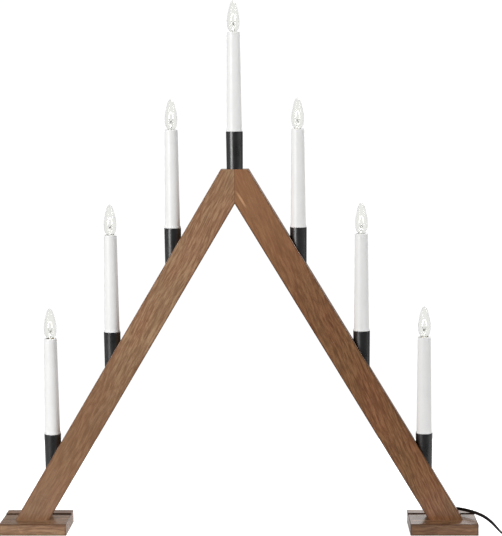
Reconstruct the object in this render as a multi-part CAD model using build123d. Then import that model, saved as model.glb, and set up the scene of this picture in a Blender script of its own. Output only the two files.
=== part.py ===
from build123d import *
import math
import os

# A free-standing electric candle arch: two wooden legs mitred at the apex, each on a foot,
# with seven candle lamps in cups let into the wood. Millimetres, +Z up, the front towards -Y,
# and the origin on the floor under the middle of the arch.

# Legs
leg_tilt = 31.0  # degrees from the vertical
leg_width = 35.6  # across the face that is seen from the front
leg_depth = 25.0
leg_height = 430.7  # from the foot plate's top to the flat at the apex
apex_flat = 33.2  # width of that flat
leg_edge_radius = 0.8

# Feet
foot_width = 82.4
foot_overhang = 17.0  # past the leg's outer corner
foot_thickness = 14.2
foot_front = 31.4  # from the arch's middle plane
foot_back = 31.4
foot_edge_radius = 0.8
rail_rise = 1.1  # the rail behind the leg stands this much over the plate
shadow_width = 3.0  # the groove between the leg's back and the rail
shadow_depth = 1.0

# Wiring channel in each leg's back, with a cover strip let in flush
channel_width = 7.0
channel_depth = 14.5
channel_inset = 24.0  # from the leg's outer face to the channel's middle
cover_width = 10.0
cover_thickness = 2.5
cover_clearance = 0.1
wire_hole_radius = 3.0

# Dowels and screws
dowel_radius = 3.0
dowel_length = 24.0
dowel_clearance = 0.05
dowel_from_front = 4.5  # in the mitre
mitre_dowel_drops = (10.5, 30.5)  # below the flat
rail_dowel_spacing = 40.0
rail_dowel_height = 6.5
screw_radius = 2.0
screw_head_radius = 4.0
screw_head_height = 2.4
screw_head_sunk = 0.8
screw_bite = 25.0  # length in the leg
screw_tip = 4.0
screw_clearance = 0.1
screw_from_front = 5.0  # from the leg's front face
screw_from_inside = 6.0  # from the leg's inner corner
screw_spacing = 12.5

# Candles
candles_a_side = 3
candle_end_margin = 46.8  # from the leg's outer bottom corner in to the lowest candle
cup_radius = 10.2
cup_base_radius = 9.8
cup_length = 48.0
cup_bore_radius = 8.8
cup_floor = 3.0
cup_rim_radius = 0.5
seat_clearance = 0.1
seat_depth_flat = 2.9
seat_depth_slope = 19.6  # on the cup's axis
tube_length = 118.7  # over the cup's rim
tube_base_radius = 9.1
tube_top_radius = 7.8
tube_wall = 1.3
tube_top_edge = 1.0
collar_radius = 9.8
collar_height = 1.8
spigot_length = 18.0
spigot_clearance = 0.2
lip_thickness = 1.5
lip_opening_radius = 5.3

# Lampholder, measured down from the tube's top edge
holder_radius = 6.2
holder_length = 17.0
shell_bore_radius = 5.25
shell_bore_depth = 9.5
shell_wall = 0.25
shell_clearance = 0.05
shell_short = 0.2
contact_bore_radius = 3.6
contact_bore_depth = 3.5
contact_radius = 2.6
contact_thickness = 0.8
contact_stem_radius = 1.2
contact_stem_length = 6.0
stem_clearance = 0.08

# Bulb, measured from the tube's top edge
cap_radius = 4.7
cap_wall = 0.35
cap_top = -0.8
cap_shoulder = -9.8
cap_floor = 1.2
cap_pip_radius = 2.2
cap_pip_top = -11.6
cap_pip_end = -12.2
glass_neck_radius = 4.2
glass_neck_bottom = -6.0
glass_neck_top = 0.3
glass_wall = 0.7
glass_low_radius = 6.4
glass_low = 4.0
glass_belly_radius = 7.6
glass_belly = 12.4
glass_shoulder_radius = 6.1
glass_shoulder = 23.3
glass_taper_radius = 4.4
glass_taper = 30.8
glass_tip = 36.8
stem_foot_radius = 3.4
stem_foot_height = 0.6
stem_waist = -3.5
stem_radius = 1.6
stem_shoulder = 6.0
stem_top = 11.2
stem_tip_radius = 0.5
lead_radius = 0.25
lead_inner = 1.0  # from the bulb's axis
lead_outer = 2.4
lead_bottom = 5.6
lead_top = 12.8
filament_top = 21.0
filament_radius = 0.35

# Wiring
trunk_radius = 1.6
riser_radius = 1.2
riser_gap = 0.3

# Strain relief on the right leg's back, and the cord
cord_diameter = 4.6
boot_height = 20.4  # of the cord's axis over the floor
boot_stand_off = 7.5  # of the cord's axis behind the leg's back
boot_flange_radius = 5.5
boot_flange_thickness = 1.6
boot_radius = 4.0
boot_bend = 5.0
boot_elbow_reach = 7.0
boot_reach = 14.0
boot_end_radius = 2.9
boot_groove_count = 3
boot_groove_depth = 0.5
boot_groove_width = 1.0
boot_spigot_radius = 3.0
boot_spigot_clearance = 0.1
cord_straight_out = 7.5
# The stretch of cord after that: over the foot's corner, down to the floor and on to the coil
cord_route = [
    (272.9, 17.7, 20.3),
    (279.6, 13.3, 20.2),
    (285.0, 7.4, 20.2),
    (289.4, 0.7, 20.5),
    (293.7, -6.1, 20.7),
    (298.4, -12.6, 20.1),
    (303.3, -18.7, 18.4),
    (308.0, -24.6, 15.5),
    (312.6, -30.2, 11.6),
    (317.0, -35.5, 7.0),
    (322.2, -40.4, 4.0),
    (328.8, -44.5, 2.5),
    (337.2, -47.3, 2.4),
    (347.0, -48.7, 2.7),
    (357.5, -49.3, 3.0),
]

# Coil, its tie, and the plug
coil_x = 377.0
coil_y = -12.4
coil_inner_radius = 17.0
coil_turns = 3.79  # in each of two layers
coil_gap = 0.6
coil_start = 270.0  # degrees
coil_steps = 16  # pairs of arcs in a layer
coil_tail = 12.0
coil_drop_run = 14.0
tie_width = 8.0
tie_thickness = 0.6
tie_clearance = 0.2
tie_from_end = 180.0  # degrees round the coil before its end
plug_length = 34.0
plug_width = 35.3
plug_thickness = 13.7
plug_neck_width = 12.0
plug_shoulder = 20.0
plug_corner_radius = 5.0
plug_edge_radius = 2.0
plug_sleeve_length = 14.0
plug_sleeve_radius = 4.6
plug_sleeve_end_radius = 3.2
pin_radius = 2.0
pin_length = 19.0
pin_depth = 7.0
pin_spacing = 18.6
pin_tip_radius = 1.4
pin_clearance = 0.05

# Worked out from the sizes above
tilt_sin = math.sin(math.radians(leg_tilt))
tilt_cos = math.cos(math.radians(leg_tilt))
tilt_tan = math.tan(math.radians(leg_tilt))
leg_run = leg_width / tilt_cos
outer_x = apex_flat / 2 + leg_height * tilt_tan
inner_x = outer_x - leg_run
candle_step = (outer_x - candle_end_margin) / candles_a_side
flat_z = foot_thickness + leg_height
inner_apex_z = foot_thickness + inner_x / tilt_tan
leg_front = -leg_depth / 2
leg_back = leg_depth / 2
foot_outer_x = outer_x + foot_overhang
foot_inner_x = foot_outer_x - foot_width
foot_middle_x = (foot_outer_x + foot_inner_x) / 2
rail_front = leg_back + shadow_width
channel_floor = leg_back - channel_depth
cord_radius = cord_diameter / 2
seat_radius = cup_radius + seat_clearance
spigot_radius = cup_bore_radius - spigot_clearance
holder_top = -lip_thickness
shell_seat = holder_top - shell_bore_depth
contact_floor = shell_seat - contact_bore_depth
holder_bottom = holder_top - holder_length
contact_bottom = cap_pip_end - contact_thickness - contact_stem_length

# A frame on the right leg: X up the leg from its outer bottom corner, Y outwards, Z to the back
leg_frame = Plane(origin=(outer_x, 0, foot_thickness), x_dir=(-tilt_sin, 0, tilt_cos), z_dir=(0, 1, 0))
leg_reach = flat_z / tilt_cos


def slope_z(x):
    return foot_thickness + (outer_x - x) / tilt_tan


def channel_z(x):
    return slope_z(x) - channel_inset / tilt_sin


def leg_bar(low, high, middle, width, front, back):
    place = Pos((low + high) / 2, -middle, (front + back) / 2)
    return leg_frame * place * Box(high - low, width, back - front)


def turned(points):
    return revolve(Plane.XZ * make_face(Polyline(*points, close=True)), axis=Axis.Z)


def rod(start, end, radius):
    way = Vector(*end) - Vector(*start)
    bottom = (Align.CENTER, Align.CENTER, Align.MIN)
    return Plane(origin=start, z_dir=way) * Cylinder(radius, way.length, align=bottom)


def mirrored(piece):
    return mirror(piece, about=Plane.YZ)


def candle_places():
    places = {"top": (0.0, flat_z + cup_length - seat_depth_flat)}
    for place, name in enumerate(("upper", "middle", "lower")[:candles_a_side], start=1):
        x = place * candle_step
        rim = slope_z(x) + cup_length - seat_depth_slope
        places["left_" + name] = (-x, rim)
        places["right_" + name] = (x, rim)
    return places


# Legs and feet
def leg_blank():
    corners = [(inner_x, foot_thickness), (outer_x, foot_thickness), (apex_flat / 2, flat_z)]
    corners += [(0, flat_z), (0, inner_apex_z)]
    return extrude(Plane.XZ * make_face(Polyline(*corners, close=True)), leg_depth / 2, both=True)


def long_edge(edge):
    way = edge % 0.5
    on_face = abs(abs(edge.center().Y) - leg_depth / 2) < 0.01
    return on_face and edge.center().Z > foot_thickness + 1 and abs(way.X) > 0.01


def candle_seat(x, rim):
    bottom = (Align.CENTER, Align.CENTER, Align.MIN)
    floor = rim - cup_length
    seat = Pos(x, 0, floor) * Cylinder(seat_radius, cup_length, align=bottom)
    return seat + rod((x, 0, channel_z(abs(x))), (x, 0, floor + 1), wire_hole_radius)


def mitre_dowels(radius, length):
    y = leg_front + dowel_from_front
    heights = [flat_z - drop for drop in mitre_dowel_drops]
    return [rod((-length / 2, y, z), (length / 2, y, z), radius) for z in heights]


def rail_dowels(side, radius, length):
    spots = [side * foot_middle_x + offset * rail_dowel_spacing / 2 for offset in (-1, 1)]
    ends = (rail_front - length / 2, rail_front + length / 2)
    return [rod((x, ends[0], rail_dowel_height), (x, ends[1], rail_dowel_height), radius) for x in spots]


def screw_spots(side):
    y = leg_front + screw_from_front
    first = inner_x + screw_from_inside
    return [(side * (first + step * screw_spacing), y) for step in range(2)]


def screw(extra):
    shank = screw_radius + extra
    head = screw_head_radius + extra
    neck = screw_head_sunk + screw_head_height
    end = foot_thickness + screw_bite + extra
    bottom = 0.0 if extra else screw_head_sunk
    points = [(0, bottom), (head, bottom), (head, screw_head_sunk), (shank, neck)]
    points += [(shank, end - screw_tip), (0, end)]
    if not extra:
        points.pop(2)
    return turned(points)


def right_leg(places):
    leg = leg_blank()
    leg = fillet(leg.edges().filter_by(long_edge), leg_edge_radius)
    cover_space = leg_bar(-leg_width, leg_reach, channel_inset, cover_width, leg_back - cover_thickness, leg_back + 1)
    leg -= leg_bar(-leg_width, leg_reach, channel_inset, channel_width, channel_floor, leg_back + 1)
    leg -= cover_space
    for x, rim in places.values():
        if x >= 0:
            leg -= candle_seat(x, rim)
    for hole in mitre_dowels(dowel_radius + dowel_clearance, dowel_length + 2 * dowel_clearance):
        leg -= hole
    for x, y in screw_spots(1):
        leg -= Pos(x, y, 0) * screw(screw_clearance)
    return leg


def right_cover():
    width = cover_width - 2 * cover_clearance
    strip = leg_bar(-leg_width, leg_reach, channel_inset, width, leg_back - cover_thickness, leg_back)
    return strip & leg_blank()


def right_foot_plate():
    depth = foot_front + rail_front
    plate = Pos(foot_middle_x, (rail_front - foot_front) / 2, foot_thickness / 2)
    plate *= Box(foot_width, depth, foot_thickness)
    front_edges = plate.edges().filter_by(lambda edge: edge.center().Y < rail_front - 1)
    plate = fillet(front_edges.filter_by(lambda edge: edge.center().Z > 1), foot_edge_radius)
    groove = Pos(foot_middle_x, (leg_back + rail_front) / 2, foot_thickness)
    plate -= groove * Box(foot_width + 1, shadow_width, 2 * shadow_depth)
    for x, y in screw_spots(1):
        plate -= Pos(x, y, 0) * screw(screw_clearance)
    for hole in rail_dowels(1, dowel_radius + dowel_clearance, dowel_length + 2 * dowel_clearance):
        plate -= hole
    return plate


def right_foot_rail():
    height = foot_thickness + rail_rise
    rail = Pos(foot_middle_x, (rail_front + foot_back) / 2, height / 2)
    rail *= Box(foot_width, foot_back - rail_front, height)
    top_edges = rail.edges().filter_by(lambda edge: edge.center().Z > 1)
    outer_edges = top_edges.filter_by(lambda edge: edge.center().Y > rail_front + 1 or edge.center().Z > foot_thickness)
    rail = fillet(outer_edges, foot_edge_radius)
    for hole in rail_dowels(1, dowel_radius + dowel_clearance, dowel_length + 2 * dowel_clearance):
        rail -= hole
    return rail


# One candle, on the Z axis with its cup's rim at zero
def cup():
    points = [(wire_hole_radius, -cup_length), (cup_base_radius, -cup_length), (cup_radius, 0)]
    points += [(cup_bore_radius, 0), (cup_bore_radius, cup_floor - cup_length)]
    points += [(wire_hole_radius, cup_floor - cup_length)]
    body = turned(points)
    rim = body.edges().filter_by(GeomType.CIRCLE).group_by(Axis.Z)[-1]
    return fillet(rim, cup_rim_radius)


def candle_tube():
    lip_bottom = tube_length - lip_thickness
    points = [(spigot_radius, -spigot_length), (spigot_radius, 0), (collar_radius, 0)]
    points += [(collar_radius, collar_height), (tube_base_radius, collar_height)]
    points += [(tube_top_radius, tube_length), (lip_opening_radius, tube_length)]
    points += [(lip_opening_radius, lip_bottom), (tube_top_radius - tube_wall, lip_bottom)]
    points += [(spigot_radius - tube_wall, -spigot_length)]
    body = turned(points)
    top = body.edges().filter_by(GeomType.CIRCLE).group_by(Axis.Z)[-1].sort_by(SortBy.RADIUS)[-1]
    return fillet(top, tube_top_edge)


# The lamp in a candle, with the tube's top edge at zero
def holder_body():
    hole = contact_stem_radius + stem_clearance
    points = [(hole, holder_bottom), (holder_radius, holder_bottom), (holder_radius, holder_top)]
    points += [(shell_bore_radius, holder_top), (shell_bore_radius, shell_seat)]
    points += [(contact_bore_radius, shell_seat), (contact_bore_radius, contact_floor), (hole, contact_floor)]
    return turned(points)


def holder_shell():
    outer = shell_bore_radius - shell_clearance
    top = holder_top - shell_short
    return turned([(outer - shell_wall, shell_seat), (outer, shell_seat), (outer, top), (outer - shell_wall, top)])


def centre_contact():
    top = cap_pip_end
    step = top - contact_thickness
    points = [(0, contact_bottom), (contact_stem_radius, contact_bottom), (contact_stem_radius, step)]
    return turned(points + [(contact_radius, step), (contact_radius, top), (0, top)])


def bulb_cap():
    inside = cap_radius - cap_wall
    points = [(0, cap_pip_end), (cap_pip_radius, cap_pip_end), (cap_pip_radius, cap_pip_top)]
    points += [(cap_radius, cap_shoulder), (cap_radius, cap_top), (inside, cap_top)]
    return turned(points + [(inside, cap_shoulder + cap_floor), (0, cap_shoulder + cap_floor)])


def glass_side(inset):
    tip = glass_tip - 1.6 * inset
    points = [(glass_neck_radius - inset, glass_neck_top), (glass_low_radius - inset, glass_low)]
    points += [(glass_belly_radius - inset, glass_belly), (glass_shoulder_radius - inset, glass_shoulder)]
    points += [(glass_taper_radius - inset, glass_taper), (0, tip)]
    return Spline(*points)


def bulb_glass():
    outer = glass_side(0)
    inner = glass_side(glass_wall)
    neck = [(glass_neck_radius - inset, glass_neck_bottom) for inset in (0, glass_wall)]
    edges = [Line(neck[0], outer @ 0), outer, Line(outer @ 1, inner @ 1), inner]
    edges += [Line(inner @ 0, neck[1]), Line(neck[1], neck[0])]
    return revolve(Plane.XZ * make_face(edges), axis=Axis.Z)


def bulb_mount():
    foot_top = glass_neck_bottom + stem_foot_height
    points = [(0, glass_neck_bottom), (stem_foot_radius, glass_neck_bottom), (stem_foot_radius, foot_top)]
    points += [(stem_radius, stem_waist), (stem_radius, stem_shoulder), (stem_tip_radius, stem_top), (0, stem_top)]
    mount = turned(points)
    for side in (-1, 1):
        mount += rod((side * lead_inner, 0, lead_bottom), (side * lead_outer, 0, lead_top), lead_radius)
    arch = Plane.XZ * EllipticalCenterArc((0, lead_top), lead_outer, filament_top - lead_top, arc_size=180)
    mount += sweep(Plane(origin=arch @ 0, z_dir=arch % 0) * Circle(filament_radius), path=arch)
    return mount


def lamp_wiring(places):
    apex = (0, 0, channel_z(0))
    wires = rod((boot_place(), 0, boot_height), apex, trunk_radius)
    last = candles_a_side * candle_step
    wires += mirrored(rod((last, 0, channel_z(last)), apex, trunk_radius))
    for x, rim in places.values():
        top = rim + tube_length + contact_bottom - riser_gap
        wires += rod((x, 0, channel_z(abs(x))), (x, 0, top), riser_radius)
    return wires


# Strain relief: a flange on the leg's back, an elbow towards +X and a tapered, grooved sleeve
def boot_place():
    along = (boot_height - foot_thickness + channel_inset * tilt_sin) / tilt_cos
    return outer_x - along * tilt_sin - channel_inset * tilt_cos


def cord_boot():
    x = boot_place()
    axis_y = leg_back + boot_stand_off
    flange_back = leg_back + boot_flange_thickness
    boot = rod((x, trunk_radius + riser_gap, boot_height), (x, leg_back, boot_height), boot_spigot_radius)
    boot += rod((x, leg_back, boot_height), (x, flange_back, boot_height), boot_flange_radius)
    bend = FilletPolyline(
        (x, leg_back, boot_height),
        (x, axis_y, boot_height),
        (x + boot_elbow_reach, axis_y, boot_height),
        radius=boot_bend,
    )
    boot += sweep(Plane(origin=bend @ 0, z_dir=bend % 0) * Circle(boot_radius), path=bend)
    sleeve_length = boot_reach - boot_elbow_reach
    pitch = sleeve_length / (boot_groove_count + 1)
    points = [(0, 0), (boot_radius, 0)]
    for groove in range(1, boot_groove_count + 1):
        for edge in (-0.5, 0.5):
            z = groove * pitch + edge * boot_groove_width
            radius = boot_radius + (boot_end_radius - boot_radius) * z / sleeve_length
            ring = [(radius, z), (radius - boot_groove_depth, z)]
            points += ring if edge < 0 else ring[::-1]
    points += [(boot_end_radius, sleeve_length), (0, sleeve_length)]
    sleeve = Plane(origin=(x + boot_elbow_reach, axis_y, boot_height), z_dir=(1, 0, 0)) * turned(points)
    return boot + sleeve


# Cord
def corner_radii(points):
    radii = []
    for before, corner, after in zip(points, points[1:], points[2:]):
        arriving = Vector(*corner) - Vector(*before)
        leaving = Vector(*after) - Vector(*corner)
        half_turn = math.radians(arriving.get_angle(leaving)) / 2
        radii.append(0.45 * min(arriving.length, leaving.length) / math.tan(half_turn))
    return radii


def cord_tube(path):
    return sweep(Plane(origin=path @ 0, z_dir=path % 0) * Circle(cord_radius), path=path)


def mains_cord(entry, way):
    first = (boot_place() + boot_reach, leg_back + boot_stand_off, boot_height)
    straight_out = (first[0] + cord_straight_out, first[1], first[2])
    straight_in = entry - way * 2 * cord_diameter
    points = [first, straight_out, *cord_route, tuple(straight_in), tuple(entry)]
    radii = corner_radii(points)
    print("cord radii", [round(radius, 1) for radius in radii])
    path = FilletPolyline(*points, radius=radii)
    tube = cord_tube(path)
    print("stretch length", round(path.length, 1), "volume over section", round(tube.volume / path.length, 3))
    return tube, path.length


def biarc(start, start_way, end, end_way):
    chord = end - start
    spread = 2 * (1 - start_way.dot(end_way))
    along = chord.dot(start_way + end_way)
    if spread < 1e-9:
        reach = chord.dot(chord) / (2 * along)
    else:
        reach = (math.sqrt(along**2 + spread * chord.dot(chord)) - along) / spread
    leaving = start + start_way * reach
    arriving = end - end_way * reach
    middle = (leaving + arriving) / 2
    across = (arriving - leaving).normalized()
    return [Edge.make_tangent_arc(start, start_way, middle), Edge.make_tangent_arc(middle, across, end)]


def coil_stations():
    turn = 2 * math.pi
    pitch = cord_diameter + coil_gap
    layer = turn * coil_turns
    low = cord_radius + tie_thickness + tie_clearance
    outer = coil_inner_radius + pitch * coil_turns
    stations = []
    for step in range(coil_steps + 1):
        angle = layer * step / coil_steps
        stations.append((angle, outer - pitch * angle / turn, low, -pitch / turn, 0.0))
    climb = pitch / (math.pi * coil_inner_radius)
    stations.append((layer + math.pi / 2, coil_inner_radius - pitch / 5, low + pitch / 2, 0.0, 1.5 * climb))
    for step in range(coil_steps + 1):
        angle = layer * step / coil_steps
        place = layer + math.pi + angle
        stations.append((place, coil_inner_radius + pitch * angle / turn, low + pitch, pitch / turn, 0.0))
    found = []
    for angle, radius, z, widening, rise in stations:
        a = math.radians(coil_start) + angle
        out = Vector(math.cos(a), math.sin(a), 0)
        round_way = Vector(-math.sin(a), math.cos(a), 0)
        way = round_way * radius + out * widening + Vector(0, 0, rise * radius)
        found.append((Vector(coil_x, coil_y, z) + out * radius, way.normalized()))
    return found


def coil_path():
    stations = coil_stations()
    first, first_way = stations[0]
    edges = [Edge.make_line(first - first_way * cord_diameter, first)]
    for (start, start_way), (end, end_way) in zip(stations, stations[1:]):
        edges += biarc(start, start_way, end, end_way)
    last, last_way = stations[-1]
    level = Vector(last_way.X, last_way.Y, 0).normalized()
    tail = last + level * coil_tail
    dropped = tail + level * coil_drop_run + Vector(0, 0, plug_thickness / 2 - tail.Z)
    end = dropped + level * cord_diameter
    edges.append(Edge.make_line(last, tail))
    edges += biarc(tail, level, dropped, level)
    edges.append(Edge.make_line(dropped, end))
    return Wire(edges), end, level


def least_gap(path):
    count = 1200
    spots = [path.position_at(step / count) for step in range(count + 1)]
    apart = int(count * 6 * cord_diameter / path.length)
    near = min(
        (spots[here] - spots[there]).length
        for here in range(len(spots))
        for there in range(here + apart, len(spots))
    )
    return near - cord_diameter


def coil_tie():
    pitch = cord_diameter + coil_gap
    room = cord_radius + tie_clearance
    outer = coil_inner_radius + pitch * (coil_turns - 0.5) + room
    inner = coil_inner_radius - room
    height = tie_thickness + 2 * tie_clearance + cord_diameter + pitch
    inside = Rectangle(outer - inner, height - tie_thickness)
    strap = offset(inside, tie_thickness) - inside
    middle = Pos((outer + inner) / 2, 0, (height + tie_thickness) / 2)
    band = extrude(Plane.XZ * strap, tie_width / 2, both=True)
    angle = coil_start + 720.0 * coil_turns + 180.0 - tie_from_end
    return Pos(coil_x, coil_y, 0) * Rot(0, 0, angle) * middle * band


# Plug, made with its cord's end at the origin and its pins along +X, then laid at the coil's tail
def plug_body():
    half = plug_width / 2
    neck = plug_neck_width / 2
    start = plug_sleeve_length
    shoulder = start + plug_shoulder
    end = start + plug_length
    outline = make_face(
        Polyline((start, -neck), (shoulder, -half), (end, -half), (end, half), (shoulder, half), (start, neck), close=True)
    )
    outline = fillet(outline.vertices().filter_by(lambda v: v.X < end - 1), plug_corner_radius)
    body = extrude(outline, plug_thickness / 2, both=True)
    rims = body.edges().filter_by(lambda edge: abs(abs(edge.center().Z) - plug_thickness / 2) < 0.01)
    body = fillet(rims, plug_edge_radius)
    sleeve = [(0, 0), (plug_sleeve_end_radius, 0), (plug_sleeve_radius, start), (plug_sleeve_radius, start + neck), (0, start + neck)]
    body += Plane(origin=(0, 0, 0), z_dir=(1, 0, 0)) * turned(sleeve)
    for side in (-1, 1):
        y = side * pin_spacing / 2
        body -= rod((end - pin_depth, y, 0), (end + 1, y, 0), pin_radius + pin_clearance)
    return body


def plug_pins():
    end = plug_sleeve_length + plug_length
    pins = []
    for side in (-1, 1):
        y = side * pin_spacing / 2
        pin = rod((end - pin_depth, y, 0), (end + pin_length, y, 0), pin_radius)
        tip = pin.edges().filter_by(GeomType.CIRCLE).sort_by(Axis.X)[-1]
        pins.append(fillet(tip, pin_tip_radius))
    return pins


def write(name, *pieces):
    solids = [solid for piece in pieces for solid in piece.solids()]
    shape = solids[0] if len(solids) == 1 else Compound(children=solids)
    export_step(shape, "parts/" + name + ".step")


def main():
    os.makedirs("parts", exist_ok=True)
    places = candle_places()
    leg = right_leg(places)
    cover = right_cover()
    plate = right_foot_plate()
    rail = right_foot_rail()
    write("right_leg", leg)
    write("left_leg", mirrored(leg))
    write("right_foot_plate", plate)
    write("left_foot_plate", mirrored(plate))
    write("right_foot_rail", rail)
    write("left_foot_rail", mirrored(rail))
    boot_hole = boot_spigot_radius + boot_spigot_clearance
    spot = boot_place()
    cord_hole = rod((spot, 0, boot_height), (spot, leg_back + 1, boot_height), boot_hole)
    write("channel_covers", mirrored(cover), cover - cord_hole)
    dowels = mitre_dowels(dowel_radius, dowel_length)
    dowels += rail_dowels(1, dowel_radius, dowel_length) + rail_dowels(-1, dowel_radius, dowel_length)
    write("dowels", *dowels)
    screws = [Pos(x, y, 0) * screw(0) for side in (-1, 1) for x, y in screw_spots(side)]
    write("leg_screws", *screws)
    print("legs and feet written")

    bodies, shells = [], []
    for name, (x, rim) in places.items():
        seat = Pos(x, 0, rim)
        tip = Pos(x, 0, rim + tube_length)
        write("cup_" + name, seat * cup())
        write("candle_tube_" + name, seat * candle_tube())
        bodies.append(tip * holder_body())
        shells.append(tip * holder_shell())
        write("centre_contact_" + name, tip * centre_contact())
        write("bulb_cap_" + name, tip * bulb_cap())
        write("bulb_glass_" + name, tip * bulb_glass())
        write("bulb_mount_" + name, tip * bulb_mount())
    write("lampholder_bodies", *bodies)
    write("lampholder_shells", *shells)
    write("lamp_wiring", lamp_wiring(places))
    print("candles written")

    path, coil_end, way = coil_path()
    coil = cord_tube(path)
    print("coil length", round(path.length, 1), "volume over section", round(coil.volume / path.length, 3))
    print("coil's least gap to itself", round(least_gap(path), 2))
    stretch, stretch_length = mains_cord(path @ 0, path % 0)
    print("cord length", round(path.length + stretch_length, 1))
    write("cord_boot", cord_boot())
    write("mains_cord", stretch)
    write("cord_coil", coil)
    write("coil_tie", coil_tie())
    laid = Location(Plane(origin=coil_end, x_dir=way, z_dir=(0, 0, 1)))
    write("plug_body", laid * plug_body())
    write("plug_pins", *[laid * pin for pin in plug_pins()])
    print("cord written")


main()
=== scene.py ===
import math
import bpy
import bmesh
from mathutils import Matrix, Vector


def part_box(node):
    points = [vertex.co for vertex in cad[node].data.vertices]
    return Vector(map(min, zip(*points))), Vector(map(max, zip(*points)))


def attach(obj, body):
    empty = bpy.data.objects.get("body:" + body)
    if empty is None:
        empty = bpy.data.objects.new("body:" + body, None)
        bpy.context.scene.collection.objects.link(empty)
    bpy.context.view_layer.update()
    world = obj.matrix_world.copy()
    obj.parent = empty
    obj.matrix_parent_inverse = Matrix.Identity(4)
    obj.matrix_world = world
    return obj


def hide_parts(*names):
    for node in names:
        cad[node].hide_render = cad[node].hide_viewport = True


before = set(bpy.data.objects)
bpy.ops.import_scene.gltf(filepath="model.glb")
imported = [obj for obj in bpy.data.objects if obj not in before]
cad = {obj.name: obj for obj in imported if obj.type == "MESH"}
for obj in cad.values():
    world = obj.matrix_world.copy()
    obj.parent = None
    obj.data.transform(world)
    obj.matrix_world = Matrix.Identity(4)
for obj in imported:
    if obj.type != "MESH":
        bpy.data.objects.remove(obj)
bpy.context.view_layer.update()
scene = bpy.context.scene
millimetre = 0.001
spots = ("left_lower", "left_middle", "left_upper", "top", "right_upper", "right_middle", "right_lower")
print("frame loaded:", len(cad), "nodes")

# Camera, fitted to the legs, feet and candles
photoView = {
    "place": (0.078797, -1.795428, 0.518211),
    "pan": -0.0336,
    "tip": 0.1074,
    "roll": -0.0097,
    "focalPixels": 1487.13,
    "picture": (502, 536),
    "sensor": 36.0,
    "farthest": 50.0,
}


def aimCamera(view):
    pan, tip, roll = view["pan"], view["tip"], view["roll"]
    level = Vector((math.cos(pan), -math.sin(pan), 0))
    away = Vector((math.sin(pan), math.cos(pan), 0))
    upright = Vector((0, 0, 1)) * math.cos(tip) + away * math.sin(tip)
    ahead = away * math.cos(tip) - Vector((0, 0, 1)) * math.sin(tip)
    right = level * math.cos(roll) + upright * math.sin(roll)
    above = upright * math.cos(roll) - level * math.sin(roll)
    turn = Matrix((right, above, -ahead)).transposed().to_4x4()
    data = bpy.data.cameras.new("photoCamera")
    data.sensor_width = view["sensor"]
    data.lens = view["focalPixels"] / max(view["picture"]) * view["sensor"]
    data.clip_end = view["farthest"]
    camera = bpy.data.objects.new("photoCamera", data)
    scene.collection.objects.link(camera)
    camera.matrix_world = Matrix.Translation(view["place"]) @ turn
    scene.camera = camera


aimCamera(photoView)
print("camera placed")


# Small helpers for node trees and pieces
def addNode(tree, kind, inputs=(), **settings):
    node = tree.nodes.new(kind)
    for key, value in settings.items():
        setattr(node, key, value)
    for socket, value in dict(inputs).items():
        if isinstance(value, bpy.types.NodeSocket):
            tree.links.new(value, node.inputs[socket])
        else:
            node.inputs[socket].default_value = value
    return node


def tone(red, green, blue):
    # a colour as it is named on screen, turned into the linear one that shaders take
    linear = [c / 255 / 12.92 if c < 10.3 else ((c / 255 + 0.055) / 1.055) ** 2.4 for c in (red, green, blue)]
    return (*linear, 1.0)


def startMaterial(name):
    material = bpy.data.materials.new(name)
    material.use_nodes = True
    tree = material.node_tree
    return material, tree, tree.nodes["Principled BSDF"]


def ramp(tree, factor, stops):
    node = addNode(tree, "ShaderNodeValToRGB", {"Fac": factor})
    band = node.color_ramp
    while len(band.elements) < len(stops):
        band.elements.new(0.5)
    for element, (place, colour) in zip(band.elements, stops):
        element.position = place
        element.color = colour
    return node.outputs["Color"]


def grey(value):
    return (value, value, value, 1.0)


def mix(tree, share, start, end):
    sockets = {"Factor": share, "A": start, "B": end}
    return addNode(tree, "ShaderNodeMix", sockets, data_type="RGBA").outputs["Result"]


def blend(tree, factor, depth, start, end):
    # depth says how much of the end colour shows where the factor is full
    share = addNode(tree, "ShaderNodeMath", {0: factor, 1: depth}, operation="MULTIPLY").outputs[0]
    return mix(tree, share, start, end)


def fade(tree, value, full, none):
    # one up to the first value, nothing from the second
    reach = {"Value": value, "From Min": full, "From Max": none, "To Min": 1.0, "To Max": 0.0}
    return addNode(tree, "ShaderNodeMapRange", reach, interpolation_type="SMOOTHSTEP").outputs[0]


def startGroup(name, inputs, outputs):
    group = bpy.data.node_groups.new(name, "ShaderNodeTree")
    for label, kind, value in inputs:
        socket = group.interface.new_socket(label, in_out="INPUT", socket_type=kind)
        if value is not None:
            socket.default_value = value
    for label, kind in outputs:
        group.interface.new_socket(label, in_out="OUTPUT", socket_type=kind)
    entry = group.nodes.new("NodeGroupInput")
    leave = group.nodes.new("NodeGroupOutput")
    return group, entry.outputs, leave.inputs


def meshPiece(name, points, faces, materials, uvs=None):
    data = bpy.data.meshes.new(name)
    data.from_pydata([tuple(p) for p in points], [], faces)
    if uvs:
        layer = data.uv_layers.new(name="UVMap")
        for loop in data.loops:
            layer.data[loop.index].uv = uvs[loop.vertex_index]
    for material in materials:
        data.materials.append(material)
    for face in data.polygons:
        face.use_smooth = True
    data.update()
    piece = bpy.data.objects.new(name, data)
    scene.collection.objects.link(piece)
    return piece


def dressNode(node, material):
    data = cad[node].data
    data.materials.clear()
    data.materials.append(material)


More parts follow.
